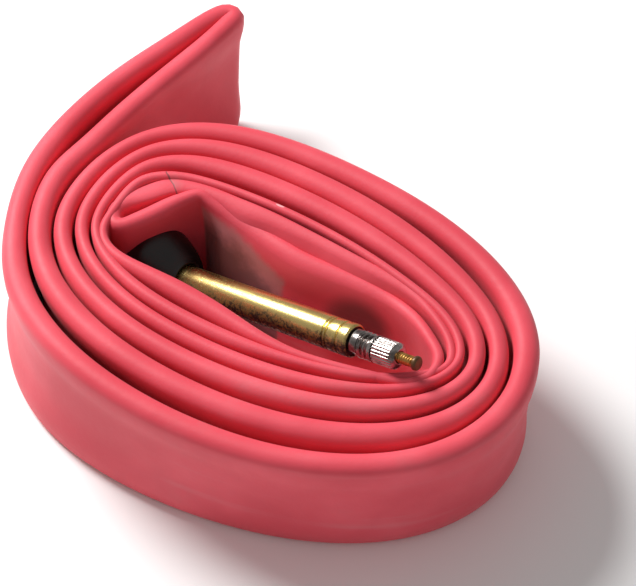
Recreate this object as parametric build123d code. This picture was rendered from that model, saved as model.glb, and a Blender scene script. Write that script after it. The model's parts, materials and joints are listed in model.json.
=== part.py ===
from build123d import *
import math
import os

# A bicycle inner tube, flattened, folded double and rolled up standing on edge.
# Millimetres, +Z up. The roll stands on Z = 0 and its long axis runs along X.

# ---- The flattened tube ----
flat_width = 27.0        # the tube laid flat, here its height above the floor
tube_wall = 0.6          # latex wall
cavity_gap = 0.4         # what is left between the two walls of the flattened tube
tube_thickness = 2 * tube_wall + cavity_gap

# ---- The roll: two strands side by side wound inwards ----
# Places in plan are shares of the roll's half length (X) and half width (Y).
# depth counts layers from the outside in, two layers to a turn.
roll_half_length = 53.8  # at depth 0
roll_half_width = 40.7
layer_pitch_long = 0.062 # what one layer takes off the half length
layer_pitch_wide = 0.165 # what the first layer takes off the half width
pitch_tightening = 0.0084            # the layers lie closer towards the middle
centre_start = (-0.011, 0.042)       # middle of the outermost layer
centre_drift = (0.0138, 0.0074)      # how far each layer's middle moves on
centre_return = -0.002               # and comes back, with the square of the depth
lean_start = 0.08        # how far the back of the outermost layer leans to the left
lean_growth = 0.03
tilt_start = -0.061      # how far the right end of the outermost layer sits forward
tilt_growth = 0.012
corner_power = 2.08      # 2 makes an ellipse, more makes the oval squarer
power_growth = 0.1
first_depth = 0.5        # the outer strand's own depth where the roll begins
turn_count = 2.5         # whole and half turns that follow the formula
turn_step = 24.0         # degrees between the points of a turn

# ---- The loop that stands away behind the roll: its folded end comes last ----
loop_outer = [(-0.965, 0.086), (-0.978, 0.455), (-0.946, 0.811), (-0.883, 1.123), (-0.81, 1.423)]
loop_inner = [(-0.862, 0.491), (-0.825, 0.786), (-0.779, 1.093), (-0.753, 1.403)]

# ---- The inner ends of the two strands, from the right-hand turn to the inner fold ----
inner_back = [
    (0.677, 0.103), (0.539, 0.206), (0.325, 0.275), (0.074, 0.322), (-0.149, 0.339),
    (-0.346, 0.332), (-0.468, 0.251), (-0.535, 0.113), (-0.55, -0.029),
]
inner_front = [
    (0.621, 0.064), (0.502, 0.106), (0.279, 0.108), (0.056, 0.145), (-0.149, 0.211),
    (-0.271, 0.268), (-0.383, 0.27), (-0.489, -0.059),
]
corner_share = 0.45      # how much of the shorter run each corner's arc takes

# ---- Valve ----
valve_share = 0.40       # place along the last run of inner_front, from the fold
valve_drop = 15.2        # the seat's middle below the tube's upper edge
valve_direction = (0.945, -0.138, 0.305)
air_hole_radius = 1.25

base_radius = 5.4        # black rubber base
base_shoulder = 0.8
base_height = 6.0
base_lip = 0.7           # rubber around the stem at the top of the base
neck_slope = -0.55       # how fast the base still narrows at its top
base_skirt = 2.6         # rubber below the seat's middle, trimmed to the tube wall
foot_height = 2.4        # the stem's foot is moulded into the base
foot_ledge = 1.2         # how far the foot stands out around the stem
foot_thickness = 0.8

stem_radius = 3.0
stem_end = 47.0          # distance of the stem's open end from the tube wall
stem_rim = 0.3           # wall left around the mouth
stem_chamfer = 0.25
groove_depth = 0.15
groove_width = 0.35
groove_places = (2.2, 4.6, 5.3)      # from the open end
mouth_depth = 0.9
mouth_ledge = 0.7        # what the washer sits on, around the bore that holds the core

seal_thickness = 0.5     # rubber washer under the core's collar
seal_clearance = 0.1
core_clearance = 0.03    # between the core and its bore
collar_clearance = 0.25  # between the core's collar and the mouth
collar_length = 2.3
flat_depth = 0.3         # the two wrench flats on the collar
core_thread_length = 3.0
core_thread_pitch = 0.8
core_thread_depth = 0.28
core_shank_length = 15.0
core_bore_clearance = 0.08

pin_radius = 1.0
pin_thread_pitch = 0.5
pin_thread_depth = 0.12
pin_tip_swell = 0.25
pin_tip_length = 0.8
pin_end = 60.8
pin_foot_swell = 0.3
pin_foot_length = 0.6
pin_seal_room = 0.4      # air way around the pin's rubber seal
pin_seal_length = 1.6
pin_travel = 2.25        # how far the pin sinks as the lock nut is undone
bottom_room = 1.0        # free bore below the pin at the end of its travel

nut_radius = 2.35
nut_length = 4.9
nut_clearance = 0.05     # between the nut's bore and the pin
nut_gap = 0.05           # between the nut and the core's end
nut_flutes = 18
flute_size = 0.35
nut_chamfer = 0.5

thread_flank = 0.42      # half width of a thread's groove at the crests, as a share of the pitch
cut_over = 0.2           # how far a cutter reaches past the surface


def signed_power(value, power):
    return math.copysign(abs(value) ** power, value)


def ring_point(depth, angle):
    """Centreline of the strand at this depth of the roll: a rounded, slightly skewed oval."""
    half_length = 1 - layer_pitch_long * depth
    half_width = 1 - layer_pitch_wide * depth + pitch_tightening * depth**2
    power = 2 / (corner_power + power_growth * depth)
    across = signed_power(math.cos(math.radians(angle)), power)
    along = signed_power(math.sin(math.radians(angle)), power)
    lean = (lean_start + lean_growth * depth) * along**2 if along > 0 else 0
    tilt = (tilt_start + tilt_growth * depth) * (across - lean / half_length)
    x = centre_start[0] + centre_drift[0] * depth + half_length * across - lean
    y = centre_start[1] + centre_drift[1] * depth + centre_return * depth**2 + half_width * along + tilt
    return (x, y)


def in_plan(place):
    """The point at this place, given in shares of the roll's half length and half width."""
    return Vector(place[0] * roll_half_length, place[1] * roll_half_width)


def strand(start_depth, first_step):
    """One strand's points through the turns; the depth grows by two layers a turn."""
    steps = int(turn_count * 360 / turn_step)
    return [
        ring_point(start_depth + 2 * step * turn_step / 360, 180 + step * turn_step)
        for step in range(first_step, steps + 1)
    ]


def corner_radius(before, corner, after):
    turn = math.radians((corner - before).get_angle(after - corner))
    run = min((corner - before).length, (after - corner).length)
    return corner_share * run / math.tan(turn / 2)


def tube_route():
    """The closed line that the flattened tube follows in plan."""
    outer_strand = strand(first_depth, 1)
    inner_strand = strand(first_depth + 1, 0)
    points = loop_outer[::-1] + outer_strand + inner_back
    points += inner_front[::-1] + inner_strand[::-1] + loop_inner
    corners = [in_plan(point) for point in points]
    radii = [
        corner_radius(corners[i - 1], corners[i], corners[(i + 1) % len(corners)])
        for i in range(len(corners))
    ]
    print("route corners", len(corners), "smallest radius", round(min(radii), 2))
    route = FilletPolyline(*corners, radius=radii, close=True)
    return Wire(route.edges())


def band(route, thickness, low, high):
    """A band of this thickness along the route, from the height low to the height high."""
    outside = Face(route.offset_2d(thickness / 2, kind=Kind.TANGENT))
    inside = Face(route.offset_2d(-thickness / 2, kind=Kind.TANGENT))
    return Pos(0, 0, low) * extrude(outside - inside, amount=high - low, dir=(0, 0, 1))


def valve_frame():
    """Plane on the tube wall under the valve, its Z along the valve, and the wall's own plane."""
    crease = in_plan(inner_front[-2])
    fold = in_plan(inner_front[-1])
    run = (crease - fold).normalized()
    outward = Vector(run.Y, -run.X)
    seat = fold + (crease - fold) * valve_share + outward * (tube_thickness / 2)
    seat = Vector(seat.X, seat.Y, flat_width - valve_drop)
    return Plane(origin=seat, z_dir=valve_direction), Plane(origin=seat, z_dir=outward)


def turned(*profile):
    """A solid of revolution about Z from (radius, height) points."""
    outline = Polyline(*[(radius, 0, height) for radius, height in profile], close=True)
    return revolve(make_face(outline), Axis.Z)


def rod(radius, low, high):
    upright = (Align.CENTER, Align.CENTER, Align.MIN)
    return Pos(0, 0, low) * Cylinder(radius, high - low, align=upright)


def ridges(radius, depth, pitch, low, high):
    """Rings that cut the crests of a thread: a V groove at each pitch."""
    count = int((high - low) / pitch)
    cut = None
    for number in range(count):
        middle = low + (number + 0.5) * pitch
        half = pitch * thread_flank * (depth + cut_over) / depth
        ring = turned(
            (radius - depth, middle),
            (radius + cut_over, middle - half),
            (radius + cut_over, middle + half),
        )
        cut = ring if cut is None else cut + ring
    return cut


# Radii from the stem inwards
mouth_radius = stem_radius - stem_rim
stem_bore_radius = mouth_radius - mouth_ledge
collar_radius = mouth_radius - collar_clearance
pin_seal_radius = stem_bore_radius - pin_seal_room
core_bore_radius = pin_radius + core_bore_clearance
nut_bore_radius = pin_radius + nut_clearance

# Heights along the valve from the tube wall
seal_low = stem_end - mouth_depth
collar_low = seal_low + seal_thickness
thread_low = collar_low + collar_length
core_top = thread_low + core_thread_length
core_bottom = seal_low - core_shank_length
nut_low = core_top + nut_gap
nut_top = nut_low + nut_length
pin_seal_top = core_bottom - nut_gap
pin_foot_top = pin_seal_top - pin_seal_length
pin_bottom = pin_foot_top - pin_foot_length
bore_bottom = pin_bottom - pin_travel - bottom_room


def make_tube(route, frame):
    shell = band(route, tube_thickness, 0, flat_width)
    cavity = band(route, cavity_gap, tube_wall, flat_width - tube_wall)
    hole = frame * rod(air_hole_radius, -tube_wall - cut_over, tube_wall + cut_over)
    return shell - cavity - hole


def make_base(frame, wall_plane):
    neck_radius = stem_radius + base_lip
    outline = Wire([
        Edge.make_line((0, 0, -base_skirt), (base_radius, 0, -base_skirt)),
        Edge.make_line((base_radius, 0, -base_skirt), (base_radius, 0, base_shoulder)),
        Edge.make_spline(
            [(base_radius, 0, base_shoulder), (neck_radius, 0, base_height)],
            tangents=[(0, 0, 1), (neck_slope, 0, 1)],
        ),
        Edge.make_line((neck_radius, 0, base_height), (0, 0, base_height)),
        Edge.make_line((0, 0, base_height), (0, 0, -base_skirt)),
    ])
    dome = frame * revolve(Face(outline), Axis.Z)
    dome = split(dome, bisect_by=wall_plane, keep=Keep.TOP)
    foot = frame * rod(stem_radius + foot_ledge, foot_height, foot_height + foot_thickness)
    barrel = frame * rod(stem_radius, foot_height, stem_end)
    hole = frame * rod(air_hole_radius, -base_skirt, foot_height)
    return dome - foot - barrel - hole


def make_stem(frame):
    stem = rod(stem_radius + foot_ledge, foot_height, foot_height + foot_thickness)
    stem += turned(
        (0, foot_height),
        (stem_radius, foot_height),
        (stem_radius, stem_end - stem_chamfer),
        (stem_radius - stem_chamfer, stem_end),
        (0, stem_end),
    )
    stem -= rod(air_hole_radius, foot_height, bore_bottom)
    stem -= rod(stem_bore_radius, bore_bottom, seal_low)
    stem -= rod(mouth_radius, seal_low, stem_end)
    for place in groove_places:
        middle = stem_end - place
        groove = rod(stem_radius + cut_over, middle - groove_width / 2, middle + groove_width / 2)
        stem -= groove - rod(stem_radius - groove_depth, foot_height, stem_end)
    return frame * stem


def make_core_seal(frame):
    ring = rod(mouth_radius - seal_clearance, seal_low, collar_low)
    return frame * (ring - rod(stem_bore_radius, seal_low, collar_low))


def make_core_body(frame):
    body = rod(stem_bore_radius - core_clearance, core_bottom, collar_low)
    collar = rod(collar_radius, collar_low, thread_low)
    body += collar & Box(2 * collar_radius, 2 * (collar_radius - flat_depth), 2 * thread_low)
    body += rod(collar_radius, thread_low, core_top)
    body -= ridges(collar_radius, core_thread_depth, core_thread_pitch, thread_low, core_top)
    return frame * (body - rod(core_bore_radius, core_bottom, core_top))


def make_pin(frame):
    tip_low = pin_end - pin_tip_length
    pin = rod(pin_radius, pin_bottom, tip_low)
    pin += turned(
        (0, tip_low),
        (pin_radius + pin_tip_swell, tip_low),
        (pin_radius + pin_tip_swell, pin_end - pin_tip_length / 3),
        (pin_radius, pin_end),
        (0, pin_end),
    )
    pin += rod(pin_radius + pin_foot_swell, pin_bottom, pin_foot_top)
    return frame * (pin - ridges(pin_radius, pin_thread_depth, pin_thread_pitch, nut_top, tip_low))


def make_pin_seal(frame):
    ring = rod(pin_seal_radius, pin_foot_top, pin_seal_top)
    return frame * (ring - rod(pin_radius, pin_foot_top, pin_seal_top))


def make_nut(frame):
    nut = turned(
        (0, nut_low),
        (nut_radius - nut_chamfer / 2, nut_low),
        (nut_radius, nut_low + nut_chamfer / 2),
        (nut_radius, nut_top - nut_chamfer),
        (nut_radius - nut_chamfer, nut_top),
        (0, nut_top),
    )
    for number in range(nut_flutes):
        turn = Rot(0, 0, number * 360 / nut_flutes)
        flute = Rot(0, 0, 45) * Box(flute_size, flute_size, 3 * nut_length)
        nut -= turn * Pos(nut_radius, 0, nut_low) * flute
    return frame * (nut - rod(nut_bore_radius, nut_low, nut_top))


route = tube_route()
frame, wall_plane = valve_frame()
nodes = {
    "tube": make_tube(route, frame),
    "valve_base": make_base(frame, wall_plane),
    "valve_stem": make_stem(frame),
    "core_seal": make_core_seal(frame),
    "core_body": make_core_body(frame),
    "valve_pin": make_pin(frame),
    "pin_seal": make_pin_seal(frame),
    "lock_nut": make_nut(frame),
}

# The origin is under the middle of the whole, on the floor
boxes = [solid.bounding_box() for solid in nodes.values()]
middle_x = (min(box.min.X for box in boxes) + max(box.max.X for box in boxes)) / 2
middle_y = (min(box.min.Y for box in boxes) + max(box.max.Y for box in boxes)) / 2
centre = Pos(-middle_x, -middle_y, 0)

os.makedirs("parts", exist_ok=True)
for name, solid in nodes.items():
    export_step(centre * solid, f"parts/{name}.step")

print("tube length", round(route.length, 1), "roll centre moved by", -middle_x, -middle_y)
print("valve seat", frame.origin - Vector(middle_x, middle_y), "axis", frame.z_dir)
print("core top", core_top, "nut", nut_low, nut_top, "stem bore starts", bore_bottom)
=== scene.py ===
import bpy
import json
import numpy as np
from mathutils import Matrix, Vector


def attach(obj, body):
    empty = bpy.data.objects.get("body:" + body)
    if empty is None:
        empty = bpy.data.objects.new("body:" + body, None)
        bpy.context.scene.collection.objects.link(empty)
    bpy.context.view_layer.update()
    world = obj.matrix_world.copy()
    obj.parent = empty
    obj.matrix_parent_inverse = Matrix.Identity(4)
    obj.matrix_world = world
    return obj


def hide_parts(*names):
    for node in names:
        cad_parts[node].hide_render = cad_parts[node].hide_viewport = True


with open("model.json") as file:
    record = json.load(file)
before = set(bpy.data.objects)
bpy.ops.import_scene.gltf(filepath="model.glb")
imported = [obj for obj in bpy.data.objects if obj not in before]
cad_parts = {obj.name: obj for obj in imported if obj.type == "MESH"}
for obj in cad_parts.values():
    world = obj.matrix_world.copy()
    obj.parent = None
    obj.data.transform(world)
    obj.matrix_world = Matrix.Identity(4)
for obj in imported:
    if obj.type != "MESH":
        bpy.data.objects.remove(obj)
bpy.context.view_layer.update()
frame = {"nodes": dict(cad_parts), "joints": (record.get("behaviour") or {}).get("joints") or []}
mm = 0.001          # lengths below are in millimetres, Blender's are in metres
print("frame loaded:", sorted(frame["nodes"]))


def gridMesh(name, points, closeU=True, uv=None, uvTurn=0.0):
    # points is (rows, columns, 3) in millimetres; each cell of the grid becomes one quad facing outwards.
    # The columns go round and close; the rows close too, or end in two small caps.
    rows, columns = points.shape[:2]
    index = np.arange(rows * columns).reshape(rows, columns)
    u = np.arange(rows if closeU else rows - 1)
    v = np.arange(columns)
    a = index[u[:, None], v[None, :]]
    b = index[(u[:, None] + 1) % rows, v[None, :]]
    c = index[(u[:, None] + 1) % rows, (v[None, :] + 1) % columns]
    d = index[u[:, None], (v[None, :] + 1) % columns]
    quads = np.stack([a, b, c, d], axis=-1).reshape(-1, 4)
    mesh = bpy.data.meshes.new(name)
    faces = quads if closeU else quads.tolist() + [index[0].tolist(), index[-1][::-1].tolist()]
    mesh.from_pydata(points.reshape(-1, 3) * mm, [], faces)
    if uv is not None:
        flat = uv.reshape(-1, 2)
        # the last row's far corners go on past the end, not back to the start
        onward = np.where(u[:, None, None] == rows - 1, [uvTurn, 0], [0, 0])
        corners = np.stack([flat[a], flat[b] + onward, flat[c] + onward, flat[d]], axis=2)
        mesh.uv_layers.new(name="lay").data.foreach_set("uv", corners.astype(np.float32).ravel())
    mesh.polygons.foreach_set("use_smooth", np.full(len(mesh.polygons), True))
    mesh.update()
    piece = bpy.data.objects.new(name, mesh)
    bpy.context.scene.collection.objects.link(piece)
    return piece


def smoothStep(x):
    x = np.clip(x, 0, 1)
    return x * x * (3 - 2 * x)


class Wire:
    # wraps a shader socket, so that sums and products of wires add their own Math nodes
    tree = None

    def __init__(self, socket):
        self.socket = socket

    @classmethod
    def node(cls, kind, settings=None, out=0, **sockets):
        made = cls.tree.nodes.new(kind)
        for key, value in (settings or {}).items():
            setattr(made, key, value)
        for key, value in sockets.items():
            # i0, i1 and so on stand for sockets by number, as some share a name
            numbered = key[0] == "i" and key[1:].isdigit()
            target = made.inputs[int(key[1:]) if numbered else key.replace("_", " ")]
            if isinstance(value, Wire):
                cls.tree.links.new(value.socket, target)
            else:
                target.default_value = value
        return Wire(made.outputs[out])

    def math(self, operation, other=0.0, swap=False):
        a, b = (other, self) if swap else (self, other)
        return Wire.node("ShaderNodeMath", {"operation": operation}, i0=a, i1=b)

    def __add__(self, other): return self.math("ADD", other)
    def __radd__(self, other): return self.math("ADD", other)
    def __sub__(self, other): return self.math("SUBTRACT", other)
    def __rsub__(self, other): return self.math("SUBTRACT", other, swap=True)
    def __mul__(self, other): return self.math("MULTIPLY", other)
    def __rmul__(self, other): return self.math("MULTIPLY", other)
    def __abs__(self): return self.math("ABSOLUTE")

    def ramp(self, low, high, first=0.0, last=1.0):
        # a smooth climb from first to last while the wire goes from low to high
        return Wire.node("ShaderNodeMapRange", {"interpolation_type": "SMOOTHSTEP"}, Value=self,
                         From_Min=low, From_Max=high, To_Min=first, To_Max=last)


def blend(share, first, second):
    # a colour that goes from the first to the second as the share goes from 0 to 1
    return Wire.node("ShaderNodeMix", {"data_type": "RGBA"}, out=2, i0=share, i6=first, i7=second)


def noise(place, scale, detail=2.0, rough=0.5):
    return Wire.node("ShaderNodeTexNoise", Vector=place, Scale=scale, Detail=detail, Roughness=rough)


def colour(red, green, blue):
    # screen colour, 0 to 255, as the linear colour that the shader wants
    share = np.array([red, green, blue]) / 255
    linear = np.where(share <= 0.04045, share / 12.92, ((share + 0.055) / 1.055) ** 2.4)
    return (*[float(x) for x in linear], 1.0)


def startMaterial(name):
    material = bpy.data.materials.new(name)
    material.use_nodes = True
    Wire.tree = material.node_tree
    shader = material.node_tree.nodes["Principled BSDF"]
    place = Wire.node("ShaderNodeTexCoord", out=3)
    return material, shader, place


def feed(shader, **sockets):
    for key, value in sockets.items():
        target = shader.inputs[key.replace("_", " ")]
        if isinstance(value, Wire):
            shader.id_data.links.new(value.socket, target)
        else:
            target.default_value = value


def bump(height, strength, distance):
    return Wire.node("ShaderNodeBump", Height=height, Strength=strength, Distance=distance)


roll = {
    "centre": (2.08, -12.89),      # the roll's own middle, in the frame
    "height": 27.0,                # the flattened tube's width, standing on edge
    "thickness": 4.6,              # across the bead along the upper edge, where there is room
    "thinnest": 1.6,
    "fill": 0.94,                  # share of the room between neighbours that a strand takes
    "clearAlong": 9.0,             # nearer than this along its own line, a strand is no neighbour to itself
    "turns": 2.5,
    "step": 20.0,                  # degrees between the points that the line follows
    "outerDepth": 0.5,             # the two strands' depths where the turns begin, at the left
    "innerDepth": 1.5,
    "leftOut": 9,                  # points of the inner strand's last turn that innerTail stands for
    "alongCells": 1500,
    "edgeUneven": 0.35,            # how much the upper edge rises and falls
    "wave": 0.35,                  # how far the walls wander halfway up
    "beadHeight": 1.9,
    "lowBeadHeight": 1.6,
    # the oval at a depth: constant, share of the depth, share of its square
    "halfLong": (53.68, -5.06, 0.29),
    "halfWide": (41.42, -7.0, 0.34),
    "middleX": (0.88, 0.34, 0.0),
    "middleY": (0.75, 1.2, -0.23),
    "backLean": (-4.29, -2.13, 0.0),
    "frontLean": (0.15, -0.49, 0.0),
    "tilt": (-2.47, 0.5, 0.0),
    "squareness": 2.13,            # 2 makes an ellipse, more makes the shoulders squarer
    # how far the oval's right end lies from its plain form, at each depth
    "rightDepth": (0.5, 1.6, 2.2, 2.7, 3.5, 4.5, 7.0),
    "rightShift": (1.0, 1.2, 0.3, 0.0, -0.6, -1.1, -1.1),
    # how far the outermost turn's lower edge stands out, after so many degrees
    "flareTurned": (0, 20, 60, 90, 110, 150, 180, 205, 240),
    "flare": (2.2, 3.0, 2.5, 0.1, -1.8, -2.5, -0.8, -0.2, 0.3),
    # the folded end, from the roll out to its tip
    "loopOuter": [(-51.0, 3.0), (-52.2, 18.5), (-50.4, 33.0), (-47.2, 46.0), (-44.4, 56.0), (-42.9, 57.9)],
    "loopInner": [(-46.2, 4.0), (-45.7, 12.0), (-44.9, 22.0), (-43.4, 35.0), (-41.8, 46.6),
                  (-41.1, 55.5), (-41.5, 57.7)],
    # the two strands' inner ends: x, y, how far the upper edge has sunk and the least half thickness
    "innerBack": [(36.9, -0.5, 0, 0), (36.1, 2.6, 0, 0), (33.6, 5.5, 0, 0), (29.7, 8.2, 0, 0),
                  (25.0, 10.6, 0, 0), (19.0, 12.2, 0, 0), (12.0, 13.1, 0, 0), (5.0, 13.8, 0, 0),
                  (-0.9, 14.3, 0, 0.9), (-6.0, 14.6, 0, 1.1), (-13.3, 14.5, 0, 1.3), (-20.0, 13.7, 0, 1.5),
                  (-24.1, 12.7, 0, 1.9), (-26.7, 11.0, 0, 2.2), (-28.5, 8.5, 0, 2.3), (-30.3, 5.8, 0, 2.1),
                  (-31.6, 3.6, 0, 1.4), (-32.1, 1.9, 0, 1.0), (-31.8, 0.5, 0, 0.8), (-31.0, -0.8, 0, 0.8),
                  (-30.0, -1.3, 0, 0.8)],
    "innerFront": [(34.1, 1.4, 0.2, 0), (31.4, 3.9, 0.8, 0), (27.4, 6.9, 1.6, 0), (22.1, 9.2, 2.4, 0),
                   (14.3, 10.2, 2.5, 0), (8.0, 10.2, 2.5, 0), (2.0, 10.3, 2.5, 0), (-3.0, 11.0, 2.5, 0),
                   (-9.0, 11.9, 2.4, 0), (-14.5, 12.2, 1.6, 0), (-18.4, 12.2, 0.6, 0), (-19.9, 12.3, 0.1, 0),
                   (-20.9, 12.0, 0, 0), (-22.3, 10.4, 0, 0), (-23.9, 7.9, 0, 0), (-25.9, 3.8, 0, 0),
                   (-27.7, 0.6, 0, 0), (-28.8, -0.9, 0, 0)],
    "innerTail": [(-31.0, -3.8), (-29.0, -6.2), (-26.0, -7.6), (-21.0, -8.3), (-14.5, -8.6), (-8.5, -9.1),
                  (-2.5, -9.8), (4.5, -10.8), (12.5, -11.2), (18.9, -10.4), (24.9, -9.2), (30.0, -8.0),
                  (33.2, -6.6), (35.0, -4.5), (35.5, -2.2), (35.1, -0.2)],
}


def atDepth(name, depth):
    constant, share, squared = roll[name]
    return constant + share * depth + squared * depth**2


def ringPlace(depth, angle):
    # an oval with squared shoulders, smaller with depth; its back leans left and its right end sits forward
    halfLong, halfWide = atDepth("halfLong", depth), atDepth("halfWide", depth)
    across = np.cos(np.radians(angle))
    along = np.sin(np.radians(angle))
    across = np.sign(across) * np.abs(across) ** (2 / roll["squareness"])
    along = np.sign(along) * np.abs(along) ** (2 / roll["squareness"])
    lean = np.where(along > 0, atDepth("backLean", depth), atDepth("frontLean", depth)) * along**2
    # the right end is uneven, and the left end sits a little in on the outermost turn
    rightEnd = np.interp(depth, roll["rightDepth"], roll["rightShift"]) * np.abs(across)**1.2
    leftEnd = 1.1 * smoothStep((1.1 - depth) / 0.5) * across**2
    shoulder = np.where((across > 0) & (along > 0), (2 * across * along) ** 2, 0)
    shoulder = shoulder * smoothStep((2.6 - depth) / 0.8)
    ends = np.where(across > 0, rightEnd, leftEnd)
    x = atDepth("middleX", depth) + halfLong * across + lean + ends + 0.8 * shoulder
    y = atDepth("middleY", depth) + halfWide * along + atDepth("tilt", depth) * x / halfLong + 0.7 * shoulder
    return np.stack([x, y], axis=-1)


def strandPlaces(startDepth):
    # two layers deeper with every turn, because the two strands wind in side by side
    turned = np.arange(1, int(roll["turns"] * 360 / roll["step"]) + 1) * roll["step"]
    return ringPlace(startDepth + 2 * turned / 360, 180 + turned)


def closedSpline(places, count):
    # periodic cubic through the places, by chord length, then read at even steps along its own length
    chord = np.linalg.norm(np.roll(places[:, :2], -1, axis=0) - places[:, :2], axis=1) ** 0.75
    n = len(places)
    before = np.roll(chord, 1)
    rows = np.arange(n)
    system = np.zeros((n, n))
    system[rows, rows] = 2 * (before + chord)
    system[rows, (rows - 1) % n] += chord
    system[rows, (rows + 1) % n] += before
    ahead = (np.roll(places, -1, axis=0) - places) / chord[:, None]
    behind = np.roll(ahead, 1, axis=0)
    slope = np.linalg.solve(system, 3 * (behind * chord[:, None] + ahead * before[:, None]))
    fine = 24
    t = (np.arange(n * fine) % fine / fine)[:, None]
    i = np.arange(n * fine) // fine
    j = (i + 1) % n
    step = chord[i][:, None]
    curve = ((2 * t**3 - 3 * t**2 + 1) * places[i] + (t**3 - 2 * t**2 + t) * step * slope[i]
             + (3 * t**2 - 2 * t**3) * places[j] + (t**3 - t**2) * step * slope[j])
    closed = np.vstack([curve, curve[:1]])
    length = np.r_[0, np.cumsum(np.linalg.norm(np.diff(closed[:, :2], axis=0), axis=1))]
    even = np.linspace(0, length[-1], count, endpoint=False)
    return np.stack([np.interp(even, length, closed[:, k]) for k in range(closed.shape[1])], axis=-1), length[-1]


def level(places):
    return np.hstack([places, np.zeros((len(places), 2))])


def rollLine():
    # once round the ring: out along the first strand, in round the valve, back along the second strand.
    # Columns: x and y of the upper edge, how far it has sunk, the least half thickness,
    # then how far the lower edge stands away in x and y.
    outer = level(strandPlaces(roll["outerDepth"]))
    inner = level(np.vstack([strandPlaces(roll["innerDepth"])[:-roll["leftOut"]], roll["innerTail"]]))
    parts = [level(np.array(roll["loopOuter"])[::-1]), outer[:-1], np.array(roll["innerBack"]),
             np.array(roll["innerFront"])[::-1], inner[::-1], level(np.array(roll["loopInner"]))]
    feet = [loopFeet(parts[0]), ringFeet(parts[1]), pocketFeet(parts[2]),
            pocketFeet(parts[3]), np.zeros((len(inner), 2)), loopFeet(parts[5])]
    return np.hstack([np.vstack(parts), np.vstack(feet)])


def loopFeet(places):
    # the folded end leans: its lower corner sits well back from its upper one
    near = smoothStep((places[:, 1] - 30) / 28)
    return np.stack([-2.2 + 4.6 * near, -6.8 * near], axis=-1)


def ringFeet(places):
    # the outermost turn flares at the bottom on its left side and tucks in at the middle of the front
    turned = np.arange(1, len(places) + 1) * roll["step"]
    first = smoothStep((330 - turned) / 60)
    flare = np.interp(turned, roll["flareTurned"], roll["flare"]) * first
    away = places[:, :2] / np.linalg.norm(places[:, :2], axis=1)[:, None]
    return away * flare[:, None]


def pocketFeet(places):
    # right of the crease both strands lean back, so their lower edges run out under the valve
    x = places[:, 0]
    out = smoothStep((x + 20.5) / 8) * smoothStep((33 - x) / 22)
    return np.stack([-1.0 * out, -9.0 * out], axis=-1)


def sectionShape():
    # once round the flattened tube: height as a share, and half thickness as a share, bead on the upper edge
    cap = np.linspace(0, np.pi, 10)[1:-1]
    rise = np.linspace(0, 1, 17)
    side = 0.62 + 0.38 * smoothStep((rise - 0.72) / 0.22) + 0.3 * smoothStep((0.4 - rise) / 0.34)
    side = side - 0.16 * smoothStep((0.1 - rise) / 0.1)
    return rise, side, cap


def roomAround(top, normal, length):
    # distance from each point to the nearest other strand beside it
    apart = np.linalg.norm(top[:, None] - top[None], axis=-1)
    steps = np.abs(np.arange(len(top))[:, None] - np.arange(len(top))[None])
    steps = np.minimum(steps, len(top) - steps) * length / len(top)
    sideways = np.abs(np.einsum("ijk,ik->ij", top[None] - top[:, None], normal))
    beside = (steps > roll["clearAlong"]) & (sideways > 0.6 * apart)
    return np.where(beside, apart, 99.0).min(axis=1)


def makeRoll():
    # the flattened section is carried along the closed line; its height follows the tube's width, its thickness
    # the room beside it, and each level is moved towards the lower edge by a power of its depth below the top
    line, length = closedSpline(rollLine(), roll["alongCells"])
    top, sunk, least, foot = line[:, :2], line[:, 2], line[:, 3], line[:, 4:]
    tangent = np.roll(top, -1, axis=0) - np.roll(top, 1, axis=0)
    tangent /= np.linalg.norm(tangent, axis=1)[:, None]
    normal = np.stack([tangent[:, 1], -tangent[:, 0]], axis=-1)
    room = roomAround(top, normal, length)
    half = np.maximum(np.clip(room * roll["fill"], roll["thinnest"], roll["thickness"]) / 2, least)
    kernel = np.hanning(31) / np.hanning(31).sum()
    half = np.convolve(np.r_[half[-15:], half, half[:15]], kernel, mode="valid")
    rise, side, cap = sectionShape()
    along = np.arange(len(top)) / len(top) * length
    uneven = roll["edgeUneven"] * np.sin(along / 37) * np.sin(along / 91 + 1)
    height = roll["height"] - roll["edgeUneven"] + uneven - sunk
    # the widest stretch, by the fold, has a flatter top
    bead = np.minimum(half, roll["beadHeight"] - 0.5 * least)
    lowBead = np.minimum(half * 0.76, roll["lowBeadHeight"])
    sideZ = lowBead[:, None] + rise[None] * (height - bead - lowBead)[:, None]
    rightN = half[:, None] * side[None]
    capTopZ = (height - bead)[:, None] + bead[:, None] * np.sin(cap)[None]
    capTopN = (half * side[-1])[:, None] * np.cos(cap)[None]
    capLowZ = lowBead[:, None] * (1 - np.sin(cap))[None]
    capLowN = (half * side[0])[:, None] * -np.cos(cap)[None]
    z = np.hstack([sideZ, capTopZ, sideZ[:, ::-1], capLowZ])
    n = np.hstack([rightN, capTopN, -rightN[:, ::-1], capLowN])
    # the valve's two strands lean from the top at once, the outer turns mostly near the floor
    down = np.clip(1 - z / height[:, None], 0, 1)
    pocket = (np.abs(top[:, 1:]) < 18) & (top[:, :1] > -22) & (top[:, :1] < 34)
    down = down ** np.where(pocket, np.where(sunk[:, None] > 0.05, 0.85, 0.6), 1.5)
    # loose latex never stands quite flat: long slow waves, strongest halfway down
    wave = roll["wave"] * np.sin(along / 23)[:, None] * np.sin(np.pi * z / roll["height"])
    leaning = top[:, None] + foot[:, None] * down[..., None]
    xy = leaning + normal[:, None] * (n + wave)[..., None] + roll["centre"]
    points = np.concatenate([xy, z[..., None]], axis=-1)
    uv = np.stack([np.broadcast_to(along[:, None], z.shape), z], axis=-1) * mm
    print("roll line", round(length, 1), "mm, half thickness", half.min().round(2), half.max().round(2))
    return gridMesh("latexRoll", points, uv=uv, uvTurn=length * mm)


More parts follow.
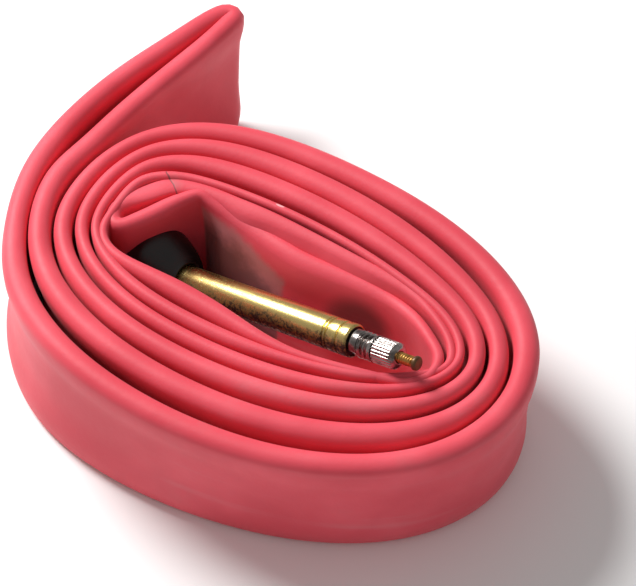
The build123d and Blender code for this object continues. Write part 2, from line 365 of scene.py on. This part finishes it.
latexRoll = makeRoll()
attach(latexRoll, "tube_and_stem")
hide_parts("tube")
print("roll made")


latex = {
    "pink": colour(239, 86, 101),
    "deep": colour(222, 70, 85),
    "pale": colour(243, 106, 119),
    "dust": colour(182, 130, 130),
    # painted shade, also the dark line of the lapped joint
    "shadeAndSeam": colour(104, 58, 58),
    "scuff": colour(236, 186, 188),
    "powderAndSheen": colour(226, 158, 164),
    "roughness": 0.55,
    # places on the roll, from its own middle
    "creaseX": -19.5,
    "creaseTop": 25.0,
    "creaseSlope": 0.24,                   # how fast the dusty patch's upper limit falls away from the crease
    "patchX": (-20.2, 1.2),
    "patchY": (0.5, 13.2),
    "hollow": (15.8, 7.2, 15.5),           # painted shade in the hollow behind the valve's end
    "hollowReach": (8.5, 9.0, 8.0),
    "lap": (-26.2, 11.5, 25.0),            # the lapped joint
    "lapReach": (3.6, 3.6, 7.0),
    "lapAcross": (0.57, 0.82),
    "scratch": (-5.9, 16.2, 26.0),
    "scratchReach": (1.1, 0.35, 3.0),
}


def nearness(place, name):
    # 1 at the named spot, falling to 0 at its reach along each axis
    middle = tuple((np.array(latex[name]) + [*roll["centre"], 0]) * mm)
    offset = Wire.node("ShaderNodeVectorMath", {"operation": "SUBTRACT"}, i0=place, i1=middle)
    reach = tuple(np.array(latex[name + "Reach"]) * mm)
    scaled = Wire.node("ShaderNodeVectorMath", {"operation": "DIVIDE"}, i0=offset, i1=reach)
    return 1 - Wire.node("ShaderNodeVectorMath", {"operation": "LENGTH"}, out=1, i0=scaled)


def makeLatex():
    material, shader, place = startMaterial("pinkLatex")
    split = Wire.node("ShaderNodeSeparateXYZ", Vector=place).socket.node
    x, y, z = [Wire(socket) * 1000 for socket in split.outputs]
    x, y = x - roll["centre"][0], y - roll["centre"][1]
    clouds = noise(place, 38.0, 3.0, 0.55)
    grain = noise(place, 900.0, 2.0, 0.6)
    speck = noise(place, 2600.0, 1.0, 0.5)
    base = blend(clouds.ramp(0.35, 0.7), latex["deep"], latex["pink"])
    base = blend(clouds.ramp(0.55, 0.8, 0, 0.35), base, latex["pale"])
    dusty = noise(place, 70.0, 4.0, 0.6).ramp(0.52, 0.72) * noise(place, 21.0, 1.0, 0.5).ramp(0.45, 0.65)
    base = blend(dusty * 0.18, base, latex["dust"])
    # dust kept beside the crease, under a line that slopes away from it, with painted shade on the strand's face
    # further below the line, and painted shade in the hollow behind the valve's end
    cloudy = (noise(place, 150.0, 4.0, 0.6) - 0.5) * 9.0
    under = latex["creaseTop"] - (x - latex["creaseX"]) * latex["creaseSlope"] - z + cloudy * 0.4
    (left, right), (front, back) = latex["patchX"], latex["patchY"]
    patch = (x - left).ramp(0, 0.9) * (right - x + cloudy * 0.5).ramp(0, 1.4)
    patch = patch * (y - front).ramp(0, 2) * (back - y).ramp(0, 1)
    base = blend(patch * under.ramp(0, 2) * 0.68, base, latex["dust"])
    # painted shade on the strand's face further below the sloping line
    base = blend(patch * (under + cloudy * 0.5).ramp(2.0, 7) * 0.8, base, latex["shadeAndSeam"])
    # painted shadow in the hollow behind the valve's end
    base = blend(nearness(place, "hollow").ramp(0.0, 0.5) * 0.8, base, latex["shadeAndSeam"])
    # the lapped joint's edge with a smudge beside it, and one small scratch
    lap = nearness(place, "lap")
    across = (x - latex["lap"][0]) * latex["lapAcross"][0] + (y - latex["lap"][1]) * latex["lapAcross"][1]
    across = across + (noise(place, 300.0) - 0.5) * 0.8
    lapLine = (0.2 - abs(across)).ramp(0, 0.14) * lap.ramp(0.05, 0.2)
    base = blend(lapLine * 0.75, base, latex["shadeAndSeam"])
    base = blend(lap.ramp(0.2, 0.9) * across.ramp(-0.2, 0.1) * 0.35, base, latex["dust"])
    base = blend(nearness(place, "scratch").ramp(0, 0.3) * 0.8, base, latex["scuff"])
    # powder in long streaks that follow the tube, partly a painted sheen along the bands
    lay = Wire.node("ShaderNodeUVMap", {"uv_map": "lay"})
    streaky = Wire.node("ShaderNodeVectorMath", {"operation": "MULTIPLY"}, i0=lay, i1=(14.0, 190.0, 1.0))
    powderAndSheen = noise(streaky, 1.0, 4.0, 0.65).ramp(0.52, 0.72) * noise(place, 30.0, 2.0).ramp(0.46, 0.62)
    base = blend(powderAndSheen * 0.22, base, latex["powderAndSheen"])
    rough = latex["roughness"] + (dusty + powderAndSheen) * 0.16 + (grain - 0.5) * 0.12
    height = grain * 0.6 + speck * 0.25 - lapLine * 1.5
    feed(shader, Base_Color=base, Roughness=rough, Normal=bump(height, 0.18, 0.0003),
         Subsurface_Weight=0.12, Subsurface_Radius=(1.0, 0.25, 0.2), Subsurface_Scale=0.002,
         Specular_IOR_Level=0.36, Sheen_Weight=0.06, Sheen_Roughness=0.5)
    return material


latexRoll.data.materials.append(makeLatex())
print("latex made")


nutJoint = [joint for joint in frame["joints"] if joint["name"] == "nut_turn"][0]
valveAxis = np.array(nutJoint["axis"]) / np.linalg.norm(nutJoint["axis"])
valve = {
    "seat": np.array(nutJoint["pos_m"]) / mm - valveAxis * 54.0,   # on the tube's wall
    "stemEnd": 47.0,               # these are distances from the seat, up the valve
    "coreTop": 51.9,
    "nutLow": 51.95,
    "nutTop": 56.85,
    "pinEnd": 60.8,
    "cellsRound": 96,
}
valveSide = np.cross(valveAxis, [0, 0, 1])
valveSide /= np.linalg.norm(valveSide)
valveUp = np.cross(valveSide, valveAxis)


def lathe(name, radius, height, body, node, closeU=True):
    # a surface of revolution about the valve's line: radius is (rows, angles), height the same or (rows,)
    angle = np.arange(radius.shape[1]) / radius.shape[1] * 2 * np.pi
    height = np.broadcast_to(np.asarray(height)[:, None] if np.ndim(height) == 1 else height, radius.shape)
    outward = np.cos(angle)[None, :, None] * valveSide + np.sin(angle)[None, :, None] * valveUp
    points = valve["seat"] + radius[..., None] * outward + height[..., None] * valveAxis
    piece = gridMesh(name, points, closeU=closeU)
    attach(piece, body)
    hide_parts(node)
    return piece


def roundedRows(corners, fillet=0.12, parts=4):
    # (radius, height) corners joined by small arcs, as a list of rows for the lathe
    corners = np.array(corners, float)
    rows = [corners[0]]
    for before, corner, after in zip(corners[:-2], corners[1:-1], corners[2:]):
        toBefore, toAfter = before - corner, after - corner
        reach = min(fillet, 0.45 * np.linalg.norm(toBefore), 0.45 * np.linalg.norm(toAfter))
        start = corner + toBefore / np.linalg.norm(toBefore) * reach
        end = corner + toAfter / np.linalg.norm(toAfter) * reach
        t = np.linspace(0, 1, parts)[:, None]
        rows.extend((1 - t) ** 2 * start + 2 * t * (1 - t) * corner + t**2 * end)
    rows.append(corners[-1])
    return np.array(rows)


def spread(rows):
    return np.repeat(rows[:, :1], valve["cellsRound"], axis=1), rows[:, 1]


def makeBase():
    # a dome: its radius falls as the 0.62 power of 1 less the 3.2 power of the height's share, then a rim
    t = np.linspace(0, 1, 26)
    radius = 3.75 + 2.9 * (1 - t**3.2) ** 0.62
    rows = np.stack([radius, -2.4 + 8.6 * t], axis=-1)
    rim = np.array([[3.75, 6.28], [3.55, 6.32], [3.2, 6.1], [2.9, 5.8]])
    rows = np.vstack([[[2.9, -2.4], [6.2, -2.4]], rows, rim])
    radius, height = spread(rows)
    angle = np.arange(radius.shape[1]) / radius.shape[1] * 2 * np.pi
    # moulded fuller on its upper side, by a power of the sine of the angle, fading towards the rim
    skirt = smoothStep((6.4 - height) / 6)[:, None]
    radius = radius * (1 + 0.42 * skirt * np.clip(np.sin(angle), 0, 1)[None] ** 1.2)
    return lathe("baseDome", radius, height, "tube_and_stem", "valve_base")


def makeStem():
    # a straight barrel with three shallow grooves and a mouth that is cut in at the end
    end = valve["stemEnd"]
    rows = roundedRows([
        (2.0, 5.0), (2.99, 5.0), (3.0, end - 5.5), (2.7, end - 5.42), (2.7, end - 5.18), (3.0, end - 5.1),
        (3.0, end - 4.8), (2.7, end - 4.72), (2.7, end - 4.48), (3.0, end - 4.4), (3.0, end - 2.4),
        (2.72, end - 2.32), (2.72, end - 2.1), (3.0, end - 2.02), (3.0, end - 0.3), (2.72, end),
        (2.62, end), (2.6, end - 0.9), (2.0, end - 0.9), (2.0, end - 3.0)])
    radius, height = spread(rows)
    return lathe("stemBarrel", radius, height, "tube_and_stem", "valve_stem")


def helix(radius, depth, pitch, low, high, cells, rowsPerPitch=12, sharp=1.6):
    # a ridge that climbs one pitch a turn, fading out at both ends
    rows = int((high - low) / pitch * rowsPerPitch) + 1
    height = np.linspace(low, high, rows)
    angle = np.arange(cells) / cells
    phase = height[:, None] / pitch - angle[None]
    ridge = (0.5 + 0.5 * np.cos(2 * np.pi * phase)) ** sharp
    fade = smoothStep((height - low) / (0.5 * pitch)) * smoothStep((high - height) / (0.5 * pitch))
    return radius - depth * (1 - ridge) * fade[:, None], height


def stackRows(*parts, count):
    # several stretches of (radius, height), one after the other
    radii = [np.repeat(r[:, None], count, axis=1) if r.ndim == 1 else r for r, h in parts]
    heights = [h for r, h in parts]
    return np.vstack(radii), np.concatenate(heights)


def makeCore():
    # a neck, a collar with two flats for the core tool, then the thread up to the nut
    count = valve["cellsRound"]
    angle = np.arange(count) / count * 2 * np.pi
    low, top = valve["stemEnd"] + 0.35, valve["coreTop"]
    collarRows = roundedRows([(1.1, low - 1.9), (1.95, low - 1.8), (1.95, low), (2.45, low + 0.05),
                              (2.5, low + 1.5), (2.1, low + 1.6)], 0.1)
    collar = np.repeat(collarRows[:, :1], count, axis=1)
    flat = 2.12 / np.maximum(np.abs(np.cos(angle + 0.5)), 0.01)
    collar = np.minimum(collar, flat[None])
    thread, threadHeight = helix(2.42, 0.72, 0.95, low + 1.65, top - 0.05, count)
    lip = np.array([[2.3, top - 0.03], [2.1, top], [1.06, top], [1.04, top - 1.0]])
    radius, height = stackRows((collar, collarRows[:, 1]), (thread, threadHeight), (lip[:, 0], lip[:, 1]),
                               count=count)
    return lathe("coreBody", radius, height, "tube_and_stem", "core_body")


def makeNut():
    # a rounded ring, less a cubed cosine wave with one groove to a flute, where the ring is widest
    count = 288
    flutes = 24
    angle = np.arange(count) / count * 2 * np.pi
    low, top = valve["nutLow"], valve["nutTop"]
    rows = roundedRows([(1.06, low + 0.8), (1.06, low), (2.2, low), (2.36, low + 0.2), (2.36, low + 1.0),
                        (2.36, top - 1.5), (2.36, top - 0.75), (2.0, top - 0.22), (1.5, top), (1.06, top),
                        (1.06, top - 0.8)], 0.2, 5)
    groove = 0.13 * (0.5 + 0.5 * np.cos(flutes * angle)) ** 3
    mask = smoothStep((rows[:, 0] - 2.05) / 0.2)
    radius = rows[:, :1] - groove[None] * mask[:, None]
    return lathe("lockNut", radius, rows[:, 1], "nut", "lock_nut")


def makePin():
    # a plain bar, a helical thread, then a tip that is a little wider than the bar
    count = 64
    end = valve["pinEnd"]
    bar = np.array([[0.02, 28.9], [1.0, 28.9], [1.0, valve["nutLow"]]])
    thread, threadHeight = helix(1.0, 0.2, 0.5, valve["nutLow"] + 0.1, end - 0.85, count)
    tip = roundedRows([(0.95, end - 0.84), (1.25, end - 0.8), (1.28, end - 0.3),
                       (1.05, end), (0.02, end + 0.02)], 0.15)
    radius, height = stackRows((bar[:, 0], bar[:, 1]), (thread, threadHeight), (tip[:, 0], tip[:, 1]),
                               count=count)
    return lathe("valvePin", radius, height, "pin", "valve_pin", closeU=False)


baseDome = makeBase()
stemBarrel = makeStem()
coreBody = makeCore()
lockNut = makeNut()
valvePin = makePin()
print("valve made")


brass = {
    "bright": colour(232, 206, 132),
    "mid": colour(146, 114, 60),
    "tarnish": colour(36, 24, 16),
    # a darker olive, painted shade for the underside
    "olive": colour(112, 88, 48),
    "roughness": 0.25,
}


def makeRubber():
    material, shader, place = startMaterial("blackRubber")
    clouds = noise(place, 180.0, 3.0)
    grain = noise(place, 1500.0, 2.0)
    base = blend(clouds.ramp(0.35, 0.7), colour(15, 10, 9), colour(34, 26, 25))
    rough = 0.3 + clouds * 0.25
    feed(shader, Base_Color=base, Roughness=rough, Normal=bump(grain, 0.1, 0.0003), Specular_IOR_Level=0.55)
    return material


def valveLine():
    # distance along the valve from the seat, in millimetres, and how far a point lies towards its underside,
    # which is darkened by painted shade and tarnish
    place = Wire.node("ShaderNodeTexCoord", out=3)
    seat = tuple(valve["seat"] * mm)
    centred = Wire.node("ShaderNodeVectorMath", {"operation": "SUBTRACT"}, i0=place, i1=seat)
    along, side, front = [
        Wire.node("ShaderNodeVectorMath", {"operation": "DOT_PRODUCT"}, out=1, i0=centred, i1=tuple(direction))
        for direction in (valveAxis, valveUp, valveSide)]
    return along * 1000, side * 1000, front * 1000


def makeBrass():
    material, shader, place = startMaterial("stemBrass")
    along, up, front = valveLine()
    clouds = noise(place, 220.0, 4.0, 0.6)
    spots = noise(place, 1700.0, 4.0, 0.75)
    fine = noise(place, 5200.0, 1.0)
    low = (front * 0.8 - up * 0.6 + (clouds - 0.5) * 3.0).ramp(-0.8, 2.0)      # underside that faces forward
    ends = along.ramp(38, 46) * 0.25 + (12 - along).ramp(0, 6) * 0.2
    stain = (spots + low * 0.12 + ends * 0.08).ramp(0.565, 0.635) * (0.3 + low * 0.7)
    film = clouds.ramp(0.42, 0.7)
    base = blend(film * 0.5, brass["bright"], brass["mid"])
    # painted shade: the underside is coloured darker olive
    base = blend(low * 0.85, base, brass["olive"])
    base = blend(stain, base, brass["tarnish"])
    rough = brass["roughness"] + film * 0.12 + stain * 0.3
    feed(shader, Base_Color=base, Roughness=rough, Metallic=1 - (stain * 0.5 + low * 0.5),
         Normal=bump(fine * 0.4 - stain * 0.6, 0.12, 0.0002))
    return material


def makePinBrass():
    material, shader, place = startMaterial("pinBrass")
    along = valveLine()[0]
    clouds = noise(place, 600.0, 3.0)
    dark = along.ramp(59.7, 60.1)
    base = blend(clouds.ramp(0.35, 0.65), colour(160, 112, 62), colour(205, 160, 92))
    base = blend(dark * 0.8, base, colour(52, 26, 18))
    feed(shader, Base_Color=base, Roughness=0.34 + clouds * 0.15, Metallic=1 - dark * 0.6,
         Normal=bump(clouds, 0.1, 0.0002))
    return material


def makeNickel():
    material, shader, place = startMaterial("nickelPlate")
    clouds = noise(place, 500.0, 3.0)
    fine = noise(place, 4000.0, 1.0)
    base = blend(clouds.ramp(0.4, 0.7), colour(180, 172, 168), colour(104, 96, 92))
    feed(shader, Base_Color=base, Roughness=0.16 + clouds * 0.1, Metallic=1.0, Normal=bump(fine, 0.05, 0.0001))
    return material


nickel = makeNickel()
rubber = makeRubber()
baseDome.data.materials.append(rubber)
stemBarrel.data.materials.append(makeBrass())
valvePin.data.materials.append(makePinBrass())
for piece in (coreBody, lockNut):
    piece.data.materials.append(nickel)
for name in ("core_seal", "pin_seal"):
    node = frame["nodes"][name]
    for place in node.material_slots:
        place.material = rubber
print("finishes made")


studio = {
    "target": (12.51, -11.24, 27.0),
    "camera": (113.1, -185.5, 266.8),
    "lens": 101.9,
    "keyPower": 5.7,
    "keySize": 0.28,
    "keyPlace": (-0.47, 0.1, 0.49),        # metres, as Blender's lights are
    "world": 0.34,
}


def makeFloor():
    material, shader, place = startMaterial("paleFloor")
    clouds = noise(place, 6.0, 2.0)
    feed(shader, Base_Color=blend(clouds, colour(255, 255, 254), colour(251, 251, 250)), Roughness=0.75)
    mesh = bpy.data.meshes.new("floor")
    reach = 3.0
    corners = [(-reach, -reach, 0), (reach, -reach, 0), (reach, reach, 0), (-reach, reach, 0)]
    mesh.from_pydata(corners, [], [(0, 1, 2, 3)])
    mesh.materials.append(material)
    floor = bpy.data.objects.new("floor", mesh)
    bpy.context.scene.collection.objects.link(floor)


def aim(thing, target):
    thing.rotation_mode = "QUATERNION"
    thing.rotation_quaternion = (Vector(target) - thing.location).to_track_quat("-Z", "Y")


def addLight(name, place, target, power, size):
    light = bpy.data.lights.new(name, "AREA")
    light.energy = power
    light.shape = "DISK"
    light.size = size
    thing = bpy.data.objects.new(name, light)
    thing.location = place
    aim(thing, target)
    bpy.context.scene.collection.objects.link(thing)


makeFloor()
addLight("keyLight", studio["keyPlace"], (0, 0, 0.01), studio["keyPower"], studio["keySize"])
world = bpy.data.worlds.new("paleStudio")
world.use_nodes = True
world.node_tree.nodes["Background"].inputs["Color"].default_value = (1, 1, 1, 1)
world.node_tree.nodes["Background"].inputs["Strength"].default_value = studio["world"]
bpy.context.scene.world = world
bpy.context.scene.view_settings.view_transform = "Standard"

cameraData = bpy.data.cameras.new("camera")
cameraData.lens = studio["lens"]
cameraData.sensor_width = 36
cameraData.clip_start = 0.01
camera = bpy.data.objects.new("camera", cameraData)
camera.location = np.array(studio["camera"]) * mm
aim(camera, np.array(studio["target"]) * mm)
bpy.context.scene.collection.objects.link(camera)
bpy.context.scene.camera = camera
print("studio made")
